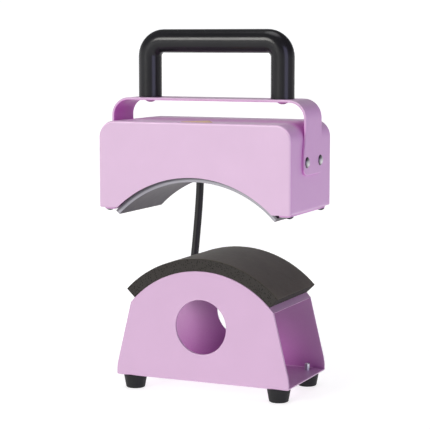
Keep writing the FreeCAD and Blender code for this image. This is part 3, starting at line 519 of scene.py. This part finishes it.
def powder_coat(name, color, hollow_shade, folded=False):
    """Semi-gloss powder coat with a fine orange peel, and painted shade in its hollows: a darker, more
    saturated pink laid on by ambient occlusion.

    A folded casing also gets painted violet light on its ends and a painted highlight, paler, over its long
    folds, and the pieces around it count towards its painted shade. An open sheet counts only itself.
    """
    f = Finish(name, color, 0.36, Specular_IOR_Level=0.34, Coat_Weight=0.06, Coat_Roughness=0.15)
    f.tint(f.clouds(26.0, 3.0), 0.018)
    if folded:
        # Painted light: faces along X are overlaid with violet
        f.overlay(END_VIOLET_LIGHT, f.facing("X", 0.6, 0.95))
        # Painted highlight: slanted faces of the front folds are overlaid with a paler pink
        fold_highlight_mask = f.both(f.facing("Z", 0.18, 0.34), f.facing("Z", 0.72, 0.52))
        f.overlay(FOLD_HIGHLIGHT, f.both(fold_highlight_mask, f.facing("Y", 0.3, 0.6)))
        # Painted shade: hollows, counting the pieces around, turn darker pink
        f.overlay(hollow_shade, f.hollows(0.05, False))
    else:
        # Painted shade: the sheet's own hollows turn darker pink
        f.overlay(hollow_shade, f.hollows(0.12, True))
    f.polish(f.clouds(180.0, 3.0), 0.31, 0.42)
    f.relief(f.clouds(900.0, 2.0, 0.4), 0.000022)
    return f.relief(f.clouds(3800.0, 1.0), 0.000004)


def moulded(name, color, roughness, grain=2600.0, depth=0.00001, variation=0.12, **sockets):
    """Moulded plastic or rubber with a fine grain."""
    f = Finish(name, color, roughness, **sockets)
    f.tint(f.clouds(60.0, 5.0), variation)
    f.polish(f.clouds(240.0, 4.0), max(roughness - 0.06, 0.05), min(roughness + 0.08, 1.0))
    return f.relief(f.clouds(grain, 2.0, 0.5), depth)


def smooth_plastic(name, color, roughness):
    """Polished moulding, faintly uneven."""
    f = Finish(name, color, roughness, Specular_IOR_Level=0.27)
    f.tint(f.clouds(40.0, 4.0), 0.12)
    f.polish(f.clouds(70.0, 3.0), roughness - 0.02, roughness + 0.04)
    f.relief(f.clouds(160.0, 2.0), 0.00001)
    return f.relief(f.clouds(3000.0, 1.0), 0.0000008)


def metal(name, color, roughness, stretch=(1.0, 1.0, 14.0)):
    """Plated or drawn metal with fine lines across one direction."""
    f = Finish(name, color, roughness, 1.0)
    lines = f.clouds(420.0, 6.0, 0.65, stretch)
    f.tint(f.clouds(90.0, 5.0), 0.08)
    f.polish(lines, roughness - 0.07, roughness + 0.1)
    return f.relief(lines, 0.000006)


def rivet_steel(name):
    """Domes with a painted highlight on their crowns, and painted shade, dark, around them."""
    # Dark metal all round, as painted shade
    f = Finish(name, (0.05, 0.045, 0.055), 0.34, 1.0)
    f.tint(f.clouds(90.0, 5.0), 0.05)
    # Painted highlight: bright grey on the crowns, where they face along X
    f.overlay((0.66, 0.66, 0.68), f.facing("X", 0.74, 0.93))
    f.polish(f.clouds(420.0, 4.0), 0.3, 0.4)
    return f.relief(f.clouds(900.0, 3.0), 0.000002)


def foam_skin(name):
    """The sponge's closed skin: soft, matt and finely pebbled."""
    f = Finish(name, (0.078, 0.070, 0.048), 0.86, Specular_IOR_Level=0.3, Sheen_Weight=0.12,
               Sheen_Roughness=0.5)
    f.tint(f.clouds(42.0, 5.0), 0.14)
    f.polish(f.clouds(500.0, 3.0), 0.8, 0.95)
    f.relief(f.cells(1500.0), 0.00005, 0.5)
    return f.relief(f.clouds(420.0, 4.0), 0.00006, 0.6)


def foam_cut(name):
    """The sponge cut through: open cells, painted darker in their pits as painted shade."""
    f = Finish(name, (0.026, 0.024, 0.022), 0.95, Specular_IOR_Level=0.2)
    pores = f.cells(560.0)
    # Painted shade: the colour darkens towards the middle of each pore
    f.tint(pores, 0.7, 0.1, 0.42)
    f.relief(pores, 0.00022, 0.9)
    return f.relief(f.clouds(1400.0, 3.0), 0.00005, 0.6)


def plate_coat(name):
    """Grey non-stick coating over cast metal, finely speckled, worn lighter on its front and back edges, with
    a painted highlight along their lower part.
    """
    f = Finish(name, (0.056, 0.042, 0.060), 0.46, 0.1, Specular_IOR_Level=0.38)
    f.tint(f.clouds(2400.0, 2.0), 0.1)
    f.polish(f.clouds(160.0, 4.0), 0.45, 0.49)
    edges = f.facing("Y", 0.25, 0.6)
    f.overlay((0.15, 0.145, 0.165), edges)
    # Painted highlight: the lower part of the front and back edges is overlaid with light grey
    f.overlay((0.36, 0.355, 0.39), f.both(edges, f.inside_arch(PLATE_AXIS, PLATE_HIGHLIGHT_RADIUS)))
    return f.relief(f.clouds(1900.0, 2.0), 0.000007)


def woven(name, color, scale, depth, roughness=0.85, variation=0.25):
    """Threads crossing at right angles."""
    f = Finish(name, color, roughness, Sheen_Weight=0.2)
    f.tint(f.clouds(300.0, 5.0), variation)
    f.relief(f.weave(scale, "X"), depth, 0.7)
    f.relief(f.weave(scale, "Y"), depth, 0.7)
    return f.relief(f.weave(scale, "Z"), depth, 0.7)


def sticker(name):
    """A printed film, slightly mottled."""
    f = Finish(name, (0.62, 0.36, 0.085), 0.38, Coat_Weight=0.3, Coat_Roughness=0.2)
    f.tint(f.clouds(140.0, 5.0), 0.1)
    return f.relief(f.clouds(700.0, 3.0), 0.000008)


finishes = {slot: finish.material for slot, finish in {
    "pink_paint": powder_coat("pink_powder_coat", PINK, SHADE_PINK, True),
    "shaded_pink_paint_of_base": powder_coat("shaded_pink_powder_coat_of_base", SHADED_BASE_PINK, BASE_HOLLOW_SHADE),
    "painted_screws": powder_coat("pink_painted_screws", SCREW_PINK, SHADE_PINK),
    "foam": foam_skin("sponge_skin"),
    "foam_cut": foam_cut("sponge_cut"),
    "foot_rubber": moulded("foot_rubber", (0.008, 0.008, 0.0095), 0.55, 1800.0, 0.000016,
                           Specular_IOR_Level=0.3),
    "zinc_steel": metal("zinc_plated_steel", (0.60, 0.61, 0.63), 0.34),
    "bright_steel": rivet_steel("polished_steel"),
    "nickel_brass": metal("nickel_plate", (0.72, 0.70, 0.64), 0.22, (8.0, 1.0, 1.0)),
    "cord_sheath": moulded("lead_sheath", (0.008, 0.008, 0.009), 0.42, 1600.0, 0.000012,
                           Specular_IOR_Level=0.36),
    "tie_nylon": woven("hook_and_loop_band", (0.03, 0.03, 0.034), 420.0, 0.00009),
    "plug_plastic": moulded("plug_moulding", (0.018, 0.018, 0.02), 0.5, 1500.0, 0.00002),
    "coated_aluminium": plate_coat("non_stick_coating"),
    "mica": moulded("mica_heater", (0.50, 0.40, 0.26), 0.5, 900.0, 0.00003, 0.22),
    "glass_felt": woven("glass_felt", (0.76, 0.73, 0.66), 330.0, 0.00018, 0.95, 0.12),
    "ceramic": moulded("steatite", (0.78, 0.75, 0.69), 0.4, 900.0, 0.00001, 0.05),
    "handle_plastic": smooth_plastic("handle_moulding", (0.0125, 0.0125, 0.0145), 0.21),
    "brass": metal("turned_brass", (0.68, 0.52, 0.22), 0.24, (1.0, 1.0, 22.0)),
    "amber_label": sticker("amber_label"),
    "panel_plastic": moulded("panel_moulding", (0.035, 0.035, 0.04), 0.45, 2400.0, 0.00001),
    "button_plastic": moulded("button_moulding", (0.60, 0.60, 0.62), 0.4, 2400.0, 0.000006, 0.04),
    "lens": moulded("lens_plastic", (0.55, 0.06, 0.04), 0.14, 600.0, 0.000003, 0.1,
                    Transmission_Weight=0.3),
    "circuit_board": moulded("solder_mask", (0.02, 0.13, 0.05), 0.3, 500.0, 0.00003, 0.3),
    "relay_plastic": moulded("relay_case", (0.02, 0.06, 0.22), 0.28),
    "terminal_plastic": moulded("terminal_moulding", (0.03, 0.22, 0.06), 0.42),
    "live_insulation": moulded("brown_insulation", (0.12, 0.045, 0.018), 0.4),
    "neutral_insulation": moulded("blue_insulation", (0.02, 0.08, 0.32), 0.4),
    "earth_insulation": moulded("green_insulation", (0.10, 0.28, 0.03), 0.4),
    "silicone_lead": moulded("silicone_sleeve", (0.62, 0.60, 0.56), 0.6, 1200.0, 0.00002, 0.06),
}.items()}


BASE_SHEETS = ("base_shell", "base_arch_plate")


def dress_cad_nodes():
    """Gives every CAD node the finish of its record slot, and the base's sheets a darker copy of the pink as
    painted shade.
    """
    for row in frame["record"]["subparts"]:
        node = frame["nodes"][row["node"]]
        node.data.materials.clear()
        # The base's sheets take the darker pink, which is painted shade
        finish = "shaded_pink_paint_of_base" if row["node"] in BASE_SHEETS else row["material_slot"]
        node.data.materials.append(finishes[finish])


# ---- Floor and light
# Brightness of the surroundings by height, from 0 at the horizon to 1 overhead
WALL_LEVELS = [(0.0, 1.04), (0.06, 1.04), (0.3, 0.2), (0.92, 0.16), (0.965, 3.2), (1.0, 3.6)]
WALL_COLOR = (0.985, 0.99, 1.0)
RIGHT_WALL_COLOR = (0.68, 0.65, 0.71)
RIGHT_WALL_FADE = (-0.2, 0.35)

# The floor's glow near the object and far to its right, and between which places along X it fades
FLOOR_HALF_SIZE = 60.0
FLOOR_GLOW = (0.76, 0.4)
FLOOR_FADE = (0.35, 1.3)

# Sun lamps: energy, angle in degrees, colour, direction, and whether reflections show it
SUNS = {
    "key": (1.62, 22, (1.0, 0.99, 0.945), (0.36, 0.86, -0.34), True),
    "violet_side": (0.33, 50, (0.7, 0.1, 1.0), (-0.95, 0.1, -0.15), False),
    "back_fill": (0.9, 40, (1.0, 1.0, 1.0), (0.15, -1.0, -0.05), False),
}

SOFTBOX_ENERGY = 9.5
SOFTBOX_SIZE = (0.9, 1.2)
SOFTBOX_COLOR = (0.62, 0.6, 1.0)
SOFTBOX_PLACE = (1.32, -0.82, 0.6)
SOFTBOX_TARGET = (0.06, 0.0, 0.6)


def make_floor():
    """A pale floor that glows enough to stay white."""
    f = Finish("floor", (0.44, 0.445, 0.44), 0.5, Specular_IOR_Level=0.2)
    f.shader.inputs["Emission Color"].default_value = (1.0, 1.0, 1.0, 1.0)
    f.tint(f.clouds(3.0, 2.0), 0.004)
    split = f.nodes.new("ShaderNodeSeparateXYZ")
    f.links.new(f.coordinates, split.inputs[0])
    glow = f.between(split.outputs["X"], *FLOOR_GLOW, *FLOOR_FADE)
    f.links.new(glow, f.shader.inputs["Emission Strength"])
    signs = ((-1, -1), (1, -1), (1, 1), (-1, 1))
    corners = [(x * FLOOR_HALF_SIZE, y * FLOOR_HALF_SIZE, 0) for x, y in signs]
    floor = mesh_object("floor", corners, [(0, 1, 2, 3)])
    floor.data.materials.append(f.material)


def make_world():
    """White walls low around the room, dimmer to the right and higher up, and a soft box overhead."""
    world = bpy.data.worlds.new("studio")
    world.use_nodes = True
    nodes, links = world.node_tree.nodes, world.node_tree.links
    direction = nodes.new("ShaderNodeTexCoord").outputs["Generated"]
    split = nodes.new("ShaderNodeSeparateXYZ")
    links.new(direction, split.inputs[0])
    height = nodes.new("ShaderNodeValToRGB")
    stops = height.color_ramp.elements
    for place, level in WALL_LEVELS[2:]:
        stops.new(place)
    for stop, (place, level) in zip(stops, WALL_LEVELS):
        stop.position = place
        stop.color = (level, level, level, 1.0)
    links.new(split.outputs["Z"], height.inputs[0])
    side = nodes.new("ShaderNodeMapRange")
    side.inputs["From Min"].default_value, side.inputs["From Max"].default_value = RIGHT_WALL_FADE
    links.new(split.outputs["X"], side.inputs["Value"])
    factor, left, right, result = color_mix(nodes)
    left.default_value = (*WALL_COLOR, 1.0)
    right.default_value = (*RIGHT_WALL_COLOR, 1.0)
    links.new(side.outputs["Result"], factor)
    background = nodes["Background"]
    links.new(result, background.inputs["Color"])
    links.new(height.outputs["Color"], background.inputs["Strength"])
    bpy.context.scene.world = world


def add_light(data, energy, color, direction):
    """A lamp of the given data that shines along a direction."""
    data.energy = energy
    data.color = color
    lamp = bpy.data.objects.new(data.name, data)
    lamp.rotation_euler = Vector(direction).to_track_quat("-Z", "Y").to_euler()
    bpy.context.scene.collection.objects.link(lamp)
    return lamp


def make_suns():
    for name, (energy, angle, color, direction, in_reflections) in SUNS.items():
        data = bpy.data.lights.new(name, "SUN")
        data.angle = math.radians(angle)
        sun = add_light(data, energy, color, direction)
        sun.visible_glossy = in_reflections


def make_softbox():
    """An upright soft box on the right that only reflections show."""
    data = bpy.data.lights.new("right_softbox", "AREA")
    data.shape = "RECTANGLE"
    data.size, data.size_y = SOFTBOX_SIZE
    direction = Vector(SOFTBOX_TARGET) - Vector(SOFTBOX_PLACE)
    softbox = add_light(data, SOFTBOX_ENERGY, SOFTBOX_COLOR, direction)
    softbox.location = SOFTBOX_PLACE
    softbox.visible_diffuse = False
    softbox.visible_camera = False


make_camera()
make_cord()
dress_cad_nodes()
make_pad()
make_floor()
make_world()
make_suns()
make_softbox()
bpy.context.scene.view_settings.view_transform = "Standard"
